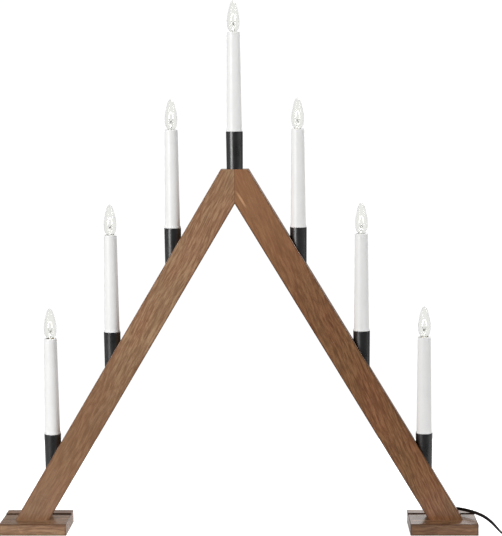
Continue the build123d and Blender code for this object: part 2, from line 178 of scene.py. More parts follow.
# Shared effects. Each line of the grain has its stretch along and across, detail, roughness, and the noise values
# that give none and all of it
woodGrain = {
    "broad": ((6.0, 75.0, 75.0), 3.0, 0.55, 0.2, 0.8),
    "streaks": ((16.0, 280.0, 280.0), 3.0, 0.65, 0.36, 0.64),
    "dashes": ((65.0, 560.0, 560.0), 2.0, 0.5, 0.38, 0.62),
    "mottle": ((14.0, 55.0, 55.0), 2.0, 0.5, 0.35, 0.65),
    "pores": ((90.0, 1900.0, 1900.0), 2.0, 0.5, 0.56, 0.7),
    "swayScale": 14.0,
    "sway": (0.0, 0.009, 0.009),
    "ringLean": (0.1, 1.0, 1.0),
    "ringPeriod": 0.314159,   # of the wave texture at a scale of one
    "ringShare": 0.25,
    "ringDetail": {"Detail": 3.0, "Detail Scale": 0.35, "Detail Roughness": 0.55},
}


def buildWoodFigure(look):
    # X of the given place runs along the grain, in metres
    group, given, out = startGroup(
        "woodFigure",
        [("Place", "NodeSocketVector", None), ("Ring Spacing", "NodeSocketFloat", 0.005),
         ("Waviness", "NodeSocketFloat", 5.0)],
        [("Figure", "NodeSocketFloat"), ("Streaks", "NodeSocketFloat"), ("Dashes", "NodeSocketFloat"),
         ("Mottle", "NodeSocketFloat"), ("Pores", "NodeSocketFloat"), ("Height", "NodeSocketFloat")],
    )
    drift = addNode(group, "ShaderNodeTexNoise", {"Vector": given["Place"], "Scale": look["swayScale"],
                                                   "Detail": 1.0})
    sway = addNode(group, "ShaderNodeVectorMath", {0: drift.outputs["Color"], 1: look["sway"]}, operation="MULTIPLY")
    place = addNode(group, "ShaderNodeVectorMath", {0: given["Place"], 1: sway.outputs[0]}, operation="ADD").outputs[0]

    def stretched(scales, detail, roughness, low, high):
        drawn = addNode(group, "ShaderNodeVectorMath", {0: place, 1: scales}, operation="MULTIPLY")
        noise = addNode(group, "ShaderNodeTexNoise", {"Vector": drawn.outputs[0], "Scale": 1.0, "Detail": detail,
                                                      "Roughness": roughness})
        spread = {"Value": noise.outputs["Fac"], "From Min": low, "From Max": high}
        return addNode(group, "ShaderNodeMapRange", spread).outputs[0]

    lines = ("broad", "streaks", "dashes", "mottle", "pores")
    broad, streaks, dashes, mottle, pores = (stretched(*look[line]) for line in lines)
    rate = addNode(group, "ShaderNodeMath", {0: look["ringPeriod"], 1: given["Ring Spacing"]},
                   operation="DIVIDE").outputs[0]
    lean = addNode(group, "ShaderNodeVectorMath", {0: place, 1: look["ringLean"]}, operation="MULTIPLY").outputs[0]
    rings = addNode(
        group, "ShaderNodeTexWave",
        {"Vector": lean, "Scale": rate, "Distortion": given["Waviness"], **look["ringDetail"]},
        wave_type="RINGS", rings_direction="X", wave_profile="SIN",
    ).outputs["Fac"]
    figure = addNode(group, "ShaderNodeMix", {"Factor": look["ringShare"], "A": broad, "B": rings}).outputs[0]
    high = addNode(group, "ShaderNodeMath", {0: streaks, 1: pores}, operation="SUBTRACT").outputs[0]
    results = {"Figure": figure, "Streaks": streaks, "Dashes": dashes, "Mottle": mottle, "Pores": pores,
               "Height": high}
    for label, value in results.items():
        group.links.new(value, out[label])
    return group


def buildCornerLines():
    # a mask along the corners of a box, from a place counted from the box's middle
    group, given, out = startGroup(
        "cornerLines",
        [("Place", "NodeSocketVector", None), ("Half", "NodeSocketVector", None), ("Width", "NodeSocketFloat", 0.001)],
        [("Mask", "NodeSocketFloat")],
    )
    size = addNode(group, "ShaderNodeVectorMath", {0: given["Place"]}, operation="ABSOLUTE").outputs[0]
    gap = addNode(group, "ShaderNodeVectorMath", {0: given["Half"], 1: size}, operation="SUBTRACT").outputs[0]
    apart = addNode(group, "ShaderNodeSeparateXYZ", {0: gap})
    near = [addNode(group, "ShaderNodeMapRange",
                    {"Value": apart.outputs[axis], "From Max": given["Width"], "To Min": 1.0, "To Max": 0.0},
                    interpolation_type="SMOOTHSTEP").outputs[0] for axis in range(3)]
    pairs = [addNode(group, "ShaderNodeMath", {0: near[a], 1: near[b]}, operation="MULTIPLY").outputs[0]
             for a, b in ((0, 1), (1, 2), (2, 0))]
    most = addNode(group, "ShaderNodeMath", {0: pairs[0], 1: pairs[1]}, operation="MAXIMUM").outputs[0]
    most = addNode(group, "ShaderNodeMath", {0: most, 1: pairs[2]}, operation="MAXIMUM").outputs[0]
    group.links.new(most, out["Mask"])
    return group


markLook = {"smears": (0.35, 0.7), "smearForm": {"Detail": 4.0, "Roughness": 0.6, "Distortion": 0.6},
            "hairlines": (0.62, 0.78), "hairStretch": (2600.0, 900.0, 120.0)}


def buildHandling(look):
    # faint smears and hairline marks that any handled surface gets
    group, given, out = startGroup(
        "handlingMarks",
        [("Place", "NodeSocketVector", None), ("Smear Size", "NodeSocketFloat", 40.0)],
        [("Smears", "NodeSocketFloat"), ("Hairlines", "NodeSocketFloat")],
    )
    smear = addNode(group, "ShaderNodeTexNoise", {"Vector": given["Place"], "Scale": given["Smear Size"],
                                                  **look["smearForm"]})
    drawn = addNode(group, "ShaderNodeVectorMath", {0: given["Place"], 1: look["hairStretch"]}, operation="MULTIPLY")
    hair = addNode(group, "ShaderNodeTexNoise", {"Vector": drawn.outputs[0], "Scale": 1.0, "Detail": 2.0})
    for label, noise, (low, high) in (("Smears", smear, look["smears"]), ("Hairlines", hair, look["hairlines"])):
        spread = {"Value": noise.outputs["Fac"], "From Min": low, "From Max": high}
        group.links.new(addNode(group, "ShaderNodeMapRange", spread).outputs[0], out[label])
    return group


woodFigure = buildWoodFigure(woodGrain)
cornerLines = buildCornerLines()
handling = buildHandling(markLook)


def addMarks(tree, spot, smearSize):
    marks = addNode(tree, "ShaderNodeGroup", node_tree=handling)
    tree.links.new(spot, marks.inputs["Place"])
    marks.inputs["Smear Size"].default_value = smearSize
    return marks.outputs


def handled(tree, shader, marks, look):
    # the colour and the gloss go from clean to worn with the smears
    clean, worn = (tone(*shade) for shade in look["shades"])
    colour = ramp(tree, marks["Smears"], ((0.0, clean), (1.0, worn)))
    gloss = ramp(tree, marks["Smears"], ((0.0, grey(look["smooth"])), (1.0, grey(look["dull"]))))
    tree.links.new(colour, shader.inputs["Base Color"])
    tree.links.new(gloss, shader.inputs["Roughness"])
    return colour, gloss


def raiseBy(tree, shader, height, strength, distance):
    bump = addNode(tree, "ShaderNodeBump", {"Strength": strength, "Distance": distance, "Height": height})
    tree.links.new(bump.outputs["Normal"], shader.inputs["Normal"])


print("shared effects built")

# Flat twin cord: the route of the part, then the coil's turns, in metres
flatCord = {
    "width": 0.0041,
    "room": 0.0046,      # the round cord of the part that this one lies in
    "thickness": 0.0027,
    "waist": 0.0015,
    "length": 1.5145,
    "exit": (0.25767, 0.0200, 0.0204),
    "route": [
        (0.25767, 0.0200, 0.0204), (0.26517, 0.0200, 0.0204), (0.2729, 0.0177, 0.0203), (0.2796, 0.0133, 0.0202),
        (0.2850, 0.0074, 0.0202), (0.2894, 0.0007, 0.0205), (0.2937, -0.0061, 0.0207), (0.2984, -0.0126, 0.0201),
        (0.3033, -0.0187, 0.0184), (0.3080, -0.0246, 0.0155), (0.3126, -0.0302, 0.0116), (0.3170, -0.0355, 0.0070),
        (0.3222, -0.0404, 0.0038), (0.3288, -0.0445, 0.0022), (0.3372, -0.0473, 0.0015), (0.3470, -0.0487, 0.0015),
        (0.3575, -0.0493, 0.0017),
    ],
    "coilPlace": (0.3770, -0.0124),
    "coilInner": 0.0170,
    "coilPitch": 0.0052,
    "coilTurns": 3.79,
    "coilStart": 270.0,
    "pointsPerTurn": 16,
    "lowTurns": 0.00165,
    "highTurns": 0.0045,
    "tail": ((0.0120, 0.0047), (0.0190, 0.0058), (0.0260, 0.00685), (0.0306, 0.00685)),
    "flatFrom": 0.058,   # along the cord, where it begins to twist from standing to lying
    "flatBy": 0.115,
    "sectionPoints": 24,
    "smoothness": 8,
}


def coilEnd(cord):
    # the angle at which the cord leaves the coil: two layers of turns with half a turn between them
    return math.radians(cord["coilStart"]) + (2 * cord["coilTurns"] + 0.5) * 2 * math.pi


def coilPoints(cord):
    inner, turns = cord["coilInner"], cord["coilTurns"]
    outer = inner + turns * cord["coilPitch"]
    low, high = cord["lowTurns"], cord["highTurns"]
    stretches = ((outer, inner, low, low, turns), (inner, inner, low, high, 0.5), (inner, outer, high, high, turns))
    swell = 1 / math.cos(math.pi / cord["pointsPerTurn"])   # the spline runs inside its points
    angle = math.radians(cord["coilStart"])
    centre = Vector((*cord["coilPlace"], 0))
    points = []
    for startRadius, endRadius, startHeight, endHeight, share in stretches:
        steps = round(share * cord["pointsPerTurn"])
        for step in range(steps):
            part = step / steps
            radius = (startRadius + (endRadius - startRadius) * part) * swell
            turned = angle + share * 2 * math.pi * part
            height = startHeight + (endHeight - startHeight) * part
            points.append(centre + Vector((radius * math.cos(turned), radius * math.sin(turned), height)))
        angle += share * 2 * math.pi
    leave = centre + Vector((outer * math.cos(angle), outer * math.sin(angle), high))
    ahead = Vector((-math.sin(angle), math.cos(angle), 0))
    points.append(leave)
    for distance, height in cord["tail"]:
        place = leave + ahead * distance
        points.append(Vector((place.x, place.y, height)))
    return points


def cordLine(points, smoothness):
    curve = bpy.data.curves.new("cordLine", "CURVE")
    curve.dimensions = "3D"
    curve.resolution_u = smoothness
    spline = curve.splines.new("NURBS")
    spline.points.add(len(points) - 1)
    for point, place in zip(spline.points, points):
        point.co = (*place, 1.0)
    spline.order_u = 3
    spline.use_endpoint_u = True
    holder = bpy.data.objects.new("cordLine", curve)
    scene.collection.objects.link(holder)
    bpy.context.view_layer.update()
    drawn = bpy.data.meshes.new_from_object(holder)
    line = [vertex.co.copy() for vertex in drawn.vertices]
    bpy.data.objects.remove(holder)
    bpy.data.curves.remove(curve)
    bpy.data.meshes.remove(drawn)
    return line


def twinSection(cord):
    # two insulated wires side by side with a waist between them
    around = cord["sectionPoints"]
    radius = cord["thickness"] / 2
    offset = cord["width"] / 2 - radius
    section = []
    for step in range(around):
        angle = 2 * math.pi * step / around
        across = (offset + radius) * math.cos(angle)
        if abs(across) > offset:
            rise = math.sqrt(max(radius ** 2 - (abs(across) - offset) ** 2, 0))
        else:
            dip = math.sqrt(max(radius ** 2 - (offset - abs(across)) ** 2, 0))
            rise = max(dip, cord["waist"] / 2)
        section.append((across, math.copysign(rise, math.sin(angle)) if step % (around // 2) else 0.0))
    return section


def sweepTwin(name, line, cord, material):
    section = twinSection(cord)
    count = len(section)
    points, faces, uvs = [], [], []
    travelled = 0.0
    up = Vector((0, 0, 1))
    for index, place in enumerate(line):
        before, after = line[max(index - 1, 0)], line[min(index + 1, len(line) - 1)]
        ahead = (after - before).normalized()
        if index:
            travelled += (place - line[index - 1]).length
        part = min(max((travelled - cord["flatFrom"]) / (cord["flatBy"] - cord["flatFrom"]), 0), 1)
        lean = math.pi / 2 * (1 - part * part * (3 - 2 * part))
        side = ahead.cross(up).normalized()
        above = side.cross(ahead)
        across = side * math.cos(lean) + above * math.sin(lean)
        through = across.cross(ahead)
        for step, (x, y) in enumerate(section):
            points.append(place + across * x + through * y)
            uvs.append((step / count, travelled))
    for ring in range(len(line) - 1):
        for step in range(count):
            here, there = ring * count + step, ring * count + (step + 1) % count
            faces.append((here, there, there + count, here + count))
    faces.append(tuple(range(count))[::-1])
    faces.append(tuple(range((len(line) - 1) * count, len(line) * count)))
    return meshPiece(name, points, faces, [material], uvs=uvs)


def blackPlastic(name, look):
    material, tree, shader = startMaterial(name)
    spot = addNode(tree, "ShaderNodeTexCoord").outputs["Object"]
    handled(tree, shader, addMarks(tree, spot, look["smearSize"]), look)
    grain = addNode(tree, "ShaderNodeTexNoise", {"Vector": spot, "Scale": look["grain"], "Detail": 2.0})
    raiseBy(tree, shader, grain.outputs["Fac"], look["bump"], look["relief"])
    shader.inputs["Specular IOR Level"].default_value = look["specular"]
    return material


cordLook = {"shades": ((12, 12, 12), (20, 20, 20)), "smooth": 0.36, "dull": 0.5, "smearSize": 70.0,
            "grain": 2600.0, "bump": 0.12, "relief": 0.0002, "specular": 0.3}
cordBlack = blackPlastic("cordBlack", cordLook)
cordPoints = [Vector(p) for p in flatCord["route"]] + coilPoints(flatCord)
cordPath = cordLine(cordPoints, flatCord["smoothness"])
cordPiece = sweepTwin("flatTwinCord", cordPath, flatCord, cordBlack)
cordRun = sum((b - a).length for a, b in zip(cordPath, cordPath[1:]))
print("cord drawn:", len(cordPath), "rings,", round(cordRun, 4), "m")

# Strap round the coil
coilStrap = {
    "width": 0.008,
    "thickness": 0.0006,
    "slack": 0.0002,
    "fromEnd": 180.0,
    "corner": 0.0022,
    "cornerSteps": 6,
    "across": (-0.5, -0.47, -0.25, 0.0, 0.25, 0.47, 0.5),
}


def strapLoop(strap, cord):
    # corners of the loop in the plane that cuts the bundle, then rounded by short arcs
    half = cord["width"] / 2 + strap["slack"] + strap["thickness"] / 2
    outer = cord["coilInner"] + cord["coilPitch"] * (cord["coilTurns"] - 0.5) + half
    inner = cord["coilInner"] - half
    low = strap["thickness"] / 2
    high = cord["highTurns"] + cord["thickness"] / 2 + strap["slack"] + strap["thickness"] / 2
    bend = strap["corner"]
    loop = []
    for across, height, start in ((outer - bend, high - bend, 0), (inner + bend, high - bend, 90),
                                  (inner + bend, low + bend, 180), (outer - bend, low + bend, 270)):
        for step in range(strap["cornerSteps"] + 1):
            angle = math.radians(start + 90 / strap["cornerSteps"] * step)
            loop.append((across + bend * math.cos(angle), height + bend * math.sin(angle)))
    return loop


def wrapStrap(name, strap, cord, material):
    angle = coilEnd(cord) - math.radians(strap["fromEnd"])
    outward = Vector((math.cos(angle), math.sin(angle), 0))
    along = Vector((-math.sin(angle), math.cos(angle), 0))
    centre = Vector((*cord["coilPlace"], 0))
    loop = strapLoop(strap, cord)
    middle = [centre + outward * across + Vector((0, 0, height)) for across, height in loop]
    widths = strap["across"]
    shell = bmesh.new()
    rows = [[shell.verts.new(place + along * strap["width"] * share) for share in widths] for place in middle]
    for row, following in zip(rows, rows[1:] + rows[:1]):
        for a in range(len(widths) - 1):
            shell.faces.new((row[a], row[a + 1], following[a + 1], following[a]))
    bmesh.ops.recalc_face_normals(shell, faces=shell.faces)
    data = bpy.data.meshes.new(name)
    shell.to_mesh(data)
    shell.free()
    for face in data.polygons:
        face.use_smooth = True
    data.materials.append(material)
    piece = bpy.data.objects.new(name, data)
    scene.collection.objects.link(piece)
    wall = piece.modifiers.new("wall", "SOLIDIFY")
    wall.thickness = strap["thickness"]
    wall.offset = 0
    return piece


strapLook = {"shades": ((30, 30, 31), (46, 46, 47)), "smooth": 0.55, "dull": 0.75, "smearSize": 120.0,
             "grain": 3200.0, "bump": 0.5, "relief": 0.0002, "specular": 0.4}
strapBlack = blackPlastic("strapBlack", strapLook)
strapPiece = wrapStrap("coilStrap", coilStrap, flatCord, strapBlack)
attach(strapPiece, "arch")
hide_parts("coil_tie")
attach(cordPiece, "arch")
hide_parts("mains_cord", "cord_coil")
print("cord and strap done")

# Lacquered wood of the legs, feet and rails
woodPieces = {
    "left_leg": {
        "turn": 59.0, "grain": 62.0, "shift": (0.31, 0.022, 0.047), "rings": 0.0065, "wavy": 4.0,
        "middle": (0.0, 0.0, 0.2256), "half": (9.0, 0.0125, 0.0178), "joint": True,
        "shades": ((106, 70, 44), (152, 116, 87), (192, 158, 122)), "streak": 0.45, "dash": 0.5,
        "tints": ((160, 114, 90), (146, 122, 95)),
        # painted shade: the left leg is darkened towards the foot, where less light reaches
        "drift": {"from": 0.02, "to": 0.16, "shade": (116, 84, 60)},
    },
    "right_leg": {
        "turn": 121.0, "grain": 113.0, "shift": (1.17, -0.031, -0.052), "rings": 0.0055, "wavy": 5.0,
        "middle": (0.0, 0.0, -0.2256), "half": (9.0, 0.0125, 0.0178), "joint": True,
        "shades": ((82, 50, 30), (127, 88, 60), (166, 123, 87)), "streak": 0.45, "dash": 0.5,
        "tints": ((138, 88, 62), (120, 92, 62)),
        "pale": {"place": (0.346, 0.0, 0.0084), "half": (0.014, 0.05, 0.0017), "shade": (200, 156, 118)},
        "drift": {"from": 0.36, "to": 0.16, "shade": (166, 119, 86)},
    },
    "left_foot_plate": {
        "turn": 0.0, "grain": 1.5, "shift": (2.3, 0.041, 0.063), "rings": 0.005, "wavy": 3.0,
        # the wood's tones, made darker as painted shade for the dimmer light towards the lower left
        "shades": ((78, 50, 30), (134, 100, 74), (182, 148, 114)), "streak": 0.7, "dash": 0.3,
        "tints": ((140, 100, 76), (132, 106, 80)),
    },
    "right_foot_plate": {
        "turn": 0.0, "grain": -1.0, "shift": (3.6, -0.027, 0.071), "rings": 0.005, "wavy": 3.0,
        "shades": ((64, 40, 24), (114, 82, 58), (156, 120, 88)), "streak": 0.7, "dash": 0.3,
        "tints": ((120, 80, 58), (110, 84, 60)),
    },
    "left_foot_rail": {
        "turn": 0.0, "grain": 0.0, "shift": (4.4, 0.063, 0.033), "rings": 0.005, "wavy": 3.0, "shadow": 0.0158,
        "shades": ((98, 66, 43), (140, 104, 76), (170, 136, 105)), "streak": 0.45, "dash": 0.3,
        "tints": ((148, 104, 78), (138, 108, 80)),
    },
    "right_foot_rail": {
        "turn": 0.0, "grain": 0.0, "shift": (5.2, 0.018, -0.066), "rings": 0.005, "wavy": 3.0, "shadow": 0.0158,
        "shades": ((76, 48, 31), (120, 86, 62), (154, 117, 87)), "streak": 0.45, "dash": 0.3,
        "tints": ((126, 84, 60), (116, 88, 62)),
    },
}
coverLook = {
    "grain": 121.0, "shift": (6.3, 0.052, 0.028), "rings": 0.007, "wavy": 3.0, "bothSides": True,
    "shades": ((82, 53, 34), (118, 84, 60), (148, 113, 85)), "streak": 0.4, "dash": 0.3,
    "tints": ((124, 82, 58), (114, 86, 62)),
}
lacquer = {
    "smooth": 0.2, "dull": 0.3, "smearSize": 22.0, "bending": 1.5, "bump": 0.12, "relief": 0.0002,
    "pores": 0.6, "mottle": 0.3, "driftDepth": 0.5, "paleDepth": 0.85, "paleReach": (0.4, 1.1),
    "corner": 0.0024, "cornerDepth": 0.8, "jointCore": 0.0002, "jointWidth": 0.0007, "jointDepth": 0.5,
    "shadowEdge": 0.0003, "shadowDepth": 0.85, "shadowShade": (40, 27, 20),
}


def paleStreak(tree, laid, streak):
    away = addNode(tree, "ShaderNodeVectorMath", {0: laid, 1: streak["place"]}, operation="SUBTRACT").outputs[0]
    drawn = addNode(tree, "ShaderNodeVectorMath", {0: away, 1: streak["half"]}, operation="DIVIDE").outputs[0]
    reach = addNode(tree, "ShaderNodeVectorMath", {0: drawn}, operation="LENGTH").outputs["Value"]
    return fade(tree, reach, *lacquer["paleReach"])


def lacqueredWood(name, look):
    material, tree, shader = startMaterial(name)
    spot = addNode(tree, "ShaderNodeTexCoord").outputs["Object"]
    along = addNode(tree, "ShaderNodeSeparateXYZ", {0: spot})
    if look.get("bothSides"):
        apart = addNode(tree, "ShaderNodeMath", {0: along.outputs["X"]}, operation="ABSOLUTE").outputs[0]
        spot = addNode(tree, "ShaderNodeCombineXYZ", {"X": apart, "Y": along.outputs["Y"],
                                                      "Z": along.outputs["Z"]}).outputs[0]
    grain = addNode(tree, "ShaderNodeMapping", {"Vector": spot, "Rotation": (0, math.radians(look["grain"]), 0),
                                                "Location": look["shift"]}).outputs["Vector"]
    wood = addNode(tree, "ShaderNodeGroup", node_tree=woodFigure)
    tree.links.new(grain, wood.inputs["Place"])
    wood.inputs["Ring Spacing"].default_value = look["rings"]
    wood.inputs["Waviness"].default_value = look["wavy"]
    dark, middle, light = (tone(*shade) for shade in look["shades"])
    stops = ((0.0, dark), (0.5, middle), (1.0, light))
    colour = ramp(tree, wood.outputs["Figure"], stops)
    for label, share in (("Streaks", look["streak"]), ("Dashes", look["dash"])):
        colour = mix(tree, share, colour, ramp(tree, wood.outputs[label], stops))
    warm, cool = (tone(*tint) for tint in look["tints"])
    patches = ramp(tree, wood.outputs["Mottle"], ((0.0, warm), (1.0, cool)))
    colour = mix(tree, lacquer["mottle"], colour, patches)
    colour = blend(tree, wood.outputs["Pores"], lacquer["pores"], colour, dark)
    if "half" in look:
        laid = addNode(tree, "ShaderNodeMapping", {"Vector": spot, "Rotation": (0, math.radians(look["turn"]), 0),
                                                   "Location": [-c for c in look["middle"]]}).outputs["Vector"]
        # a shade blended in by height along the piece: on the left leg it is painted shade, darker towards the foot; on
        # the right leg the top is lighter
        if "drift" in look:
            height = addNode(tree, "ShaderNodeSeparateXYZ", {0: laid}).outputs["X"]
            share = fade(tree, height, look["drift"]["from"], look["drift"]["to"])
            colour = blend(tree, share, lacquer["driftDepth"], colour, tone(*look["drift"]["shade"]))
        corners = addNode(tree, "ShaderNodeGroup", node_tree=cornerLines)
        tree.links.new(laid, corners.inputs["Place"])
        corners.inputs["Half"].default_value = look["half"]
        corners.inputs["Width"].default_value = lacquer["corner"]
        colour = blend(tree, corners.outputs["Mask"], lacquer["cornerDepth"], colour, dark)
    if "pale" in look:
        streak = paleStreak(tree, laid, look["pale"])
        colour = blend(tree, streak, lacquer["paleDepth"], colour, tone(*look["pale"]["shade"]))
    if look.get("joint"):
        aside = addNode(tree, "ShaderNodeMath", {0: along.outputs["X"]}, operation="ABSOLUTE").outputs[0]
        seam = fade(tree, aside, lacquer["jointCore"], lacquer["jointWidth"])
        colour = blend(tree, seam, lacquer["jointDepth"], colour, dark)
    if "shadow" in look:
        front = fade(tree, along.outputs["Y"], look["shadow"] - lacquer["shadowEdge"], look["shadow"])
        colour = blend(tree, front, lacquer["shadowDepth"], colour, tone(*lacquer["shadowShade"]))
    smears = addMarks(tree, spot, lacquer["smearSize"])["Smears"]
    gloss = ramp(tree, smears, ((0.0, grey(lacquer["smooth"])), (1.0, grey(lacquer["dull"]))))
    tree.links.new(colour, shader.inputs["Base Color"])
    tree.links.new(gloss, shader.inputs["Roughness"])
    raiseBy(tree, shader, wood.outputs["Height"], lacquer["bump"], lacquer["relief"])
    shader.inputs["IOR"].default_value = lacquer["bending"]
    return material


for node, look in woodPieces.items():
    if "half" not in look:
        low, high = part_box(node)
        look.update(middle=(low + high) / 2, half=(high - low) / 2)
    dressNode(node, lacqueredWood("wood_" + node, look))
dressNode("channel_covers", lacqueredWood("wood_covers", coverLook))
print("wood laid")

# Candle cups, tubes, lampholders and wiring
cupLook = {"shades": ((26, 26, 27), (34, 34, 36)), "smooth": 0.26, "dull": 0.36, "smearSize": 45.0,
           "grain": 1500.0, "bump": 0.04, "relief": 0.0002, "specular": 0.9}
cupBlack = blackPlastic("cupBlack", cupLook)


tubeLook = {"shades": ((240, 240, 239), (236, 236, 235)), "smooth": 0.32, "dull": 0.42, "smearSize": 30.0}
holderLook = {"shades": ((224, 221, 212), (216, 213, 203)), "smooth": 0.5, "dull": 0.6, "smearSize": 30.0}
wireLook = {"shades": ((222, 222, 218), (212, 212, 206)), "smooth": 0.45, "dull": 0.55, "smearSize": 30.0}


def whitePlastic(name, look):
    material, tree, shader = startMaterial(name)
    spot = addNode(tree, "ShaderNodeTexCoord").outputs["Object"]
    handled(tree, shader, addMarks(tree, spot, look["smearSize"]), look)
    return material


tubeWhite = whitePlastic("tubeWhite", tubeLook)
holderWhite = whitePlastic("holderWhite", holderLook)
wireWhite = whitePlastic("wireWhite", wireLook)
for spotName in spots:
    dressNode("cup_" + spotName, cupBlack)
    dressNode("candle_tube_" + spotName, tubeWhite)
dressNode("lampholder_bodies", holderWhite)
dressNode("lamp_wiring", wireWhite)
dressNode("cord_boot", cordBlack)
dressNode("plug_body", cordBlack)
print("cups and tubes dressed")


# Metals
metalWear = {"smearSize": 160.0, "bump": 0.1, "relief": 0.0001}
brassLook = {"shades": ((214, 184, 120), (176, 140, 84)), "smooth": 0.22, "dull": 0.42}
steelLook = {"shades": ((186, 187, 190), (142, 143, 147)), "smooth": 0.3, "dull": 0.5}
nickelLook = {"shades": ((205, 203, 198), (176, 173, 168)), "smooth": 0.16, "dull": 0.32}
pinSleeve = {"length": 0.010, "edge": 0.0001, "shade": (18, 18, 18), "gloss": 0.45}


def sleeveMask(tree, spot, sleeve):
    # insulation over the first part of the pins, counted from the plug's face
    angle = coilEnd(flatCord)
    axis = Vector((-math.sin(angle), math.cos(angle), 0))
    end = max(vertex.co.dot(axis) for vertex in cad["plug_body"].data.vertices) + sleeve["length"]
    way = addNode(tree, "ShaderNodeVectorMath", {0: spot, 1: axis}, operation="DOT_PRODUCT").outputs["Value"]
    return fade(tree, way, end - sleeve["edge"], end)


def handledMetal(name, look, sleeve=None):
    material, tree, shader = startMaterial(name)
    spot = addNode(tree, "ShaderNodeTexCoord").outputs["Object"]
    marks = addMarks(tree, spot, metalWear["smearSize"])
    colour, gloss = handled(tree, shader, marks, look)
    raiseBy(tree, shader, marks["Hairlines"], metalWear["bump"], metalWear["relief"])
    shader.inputs["Metallic"].default_value = 1.0
    if sleeve:
        covered = sleeveMask(tree, spot, sleeve)
        bare = addNode(tree, "ShaderNodeMath", {0: 1.0, 1: covered}, operation="SUBTRACT").outputs[0]
        colour = mix(tree, covered, colour, tone(*sleeve["shade"]))
        gloss = mix(tree, covered, gloss, grey(sleeve["gloss"]))
        for label, value in (("Base Color", colour), ("Roughness", gloss), ("Metallic", bare)):
            tree.links.new(value, shader.inputs[label])
    return material


capBrass = handledMetal("capBrass", brassLook)
screwSteel = handledMetal("screwSteel", steelLook)
pinNickel = handledMetal("pinNickel", nickelLook, pinSleeve)
dressNode("lampholder_shells", capBrass)
dressNode("leg_screws", screwSteel)
dressNode("plug_pins", pinNickel)
for spotName in spots:
    dressNode("centre_contact_" + spotName, capBrass)
dowelLook = {"grain": 0.0, "shift": (7.1, 0.01, 0.02), "rings": 0.003, "wavy": 3.0,
             "shades": ((176, 138, 98), (205, 172, 130), (222, 194, 156)), "streak": 0.4, "dash": 0.3,
             "tints": ((208, 172, 132), (200, 172, 128))}
dressNode("dowels", lacqueredWood("dowelBeech", dowelLook))
print("metals and dowels done")

# Bulb glass, in millimetres from the candle tube's top edge: radius and height of its profile
bulbGlass = {
    "profile": ((4.2, -6.0), (4.2, -2.0), (4.2, 0.0), (4.75, 1.0), (5.55, 2.4), (6.4, 4.0), (7.05, 6.2), (7.45, 9.0),
                (7.6, 12.4), (7.45, 15.6), (7.0, 19.2), (6.1, 23.3), (5.3, 27.2), (4.4, 30.8), (3.1, 33.8), (1.6, 35.9),
                (0.6, 36.6)),
    "tip": 36.8,
    "wall": 0.7,
    "tipRadius": 2.5,    # below this radius the wall also grows downwards
    "leastRadius": 0.25,
    "around": 40,
    # the glass's colour from facing to edge-on: the darker last tone is painted shade along the bulb's outline
    "shades": ((0.0, (245, 245, 243)), (0.6, (242, 242, 240)), (1.0, (200, 201, 200))),
    "bending": 1.12,     # little, since the glass is thin
    "shine": 0.1,
    "shineBlur": 0.1,
    "smearScale": 6.0,
    "smears": ((0.35, 0.0), (0.75, 0.04)),
}


def clearGlass():
    material, tree, shader = startMaterial("bulbClear")
    spot = addNode(tree, "ShaderNodeTexCoord").outputs["UV"]
    smear = addNode(tree, "ShaderNodeTexNoise", {"Vector": spot, "Scale": bulbGlass["smearScale"], "Detail": 3.0})
    gloss = ramp(tree, smear.outputs["Fac"], [(place, grey(value)) for place, value in bulbGlass["smears"]])
    # painted shade: the base colour darkens where the glass is seen edge-on
    edge = addNode(tree, "ShaderNodeLayerWeight").outputs["Facing"]
    colour = ramp(tree, edge, [(place, tone(*shade)) for place, shade in bulbGlass["shades"]])
    tree.links.new(colour, shader.inputs["Base Color"])
    tree.links.new(gloss, shader.inputs["Roughness"])
    shader.inputs["Transmission Weight"].default_value = 1.0
    shader.inputs["IOR"].default_value = bulbGlass["bending"]
    shader.inputs["Coat Weight"].default_value = bulbGlass["shine"]
    shader.inputs["Coat Roughness"].default_value = bulbGlass["shineBlur"]
    return material


def latheProfile(profile, around, tipUp=None, tipDown=None):
    points, faces, uvs = [], [], []
    for radius, height in profile:
        for step in range(around):
            angle = 2 * math.pi * step / around
            points.append(Vector((radius * math.cos(angle), radius * math.sin(angle), height)))
            uvs.append((step / around, height))
    for level in range(len(profile) - 1):
        for step in range(around):
            a, b = level * around + step, level * around + (step + 1) % around
            faces.append((a, b, b + around, a + around))
    for tip, level, order in ((tipUp, len(profile) - 1, 1), (tipDown, 0, -1)):
        if tip is not None:
            points.append(Vector((0, 0, tip)))
            uvs.append((0.5, tip))
            for step in range(around):
                a, b = level * around + step, level * around + (step + 1) % around
                faces.append((a, b, len(points) - 1)[::order])
    return points, faces, uvs


def smoothProfile(profile, between=3):
    # a smooth line through the profile's points
    made = []
    for index in range(len(profile) - 1):
        a, b = Vector(profile[max(index - 1, 0)]), Vector(profile[index])
        c, d = Vector(profile[index + 1]), Vector(profile[min(index + 2, len(profile) - 1)])
        for step in range(between):
            t = step / between
            made.append(tuple(0.5 * (2 * b + (c - a) * t + (2 * a - 5 * b + 4 * c - d) * t * t
                                     + (3 * b - a - 3 * c + d) * t ** 3)))
    made.append(tuple(profile[-1]))
    return made


def bulbPlace(spotName):
    low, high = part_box("candle_tube_" + spotName)
    return Vector(((low.x + high.x) / 2, (low.y + high.y) / 2, high.z))


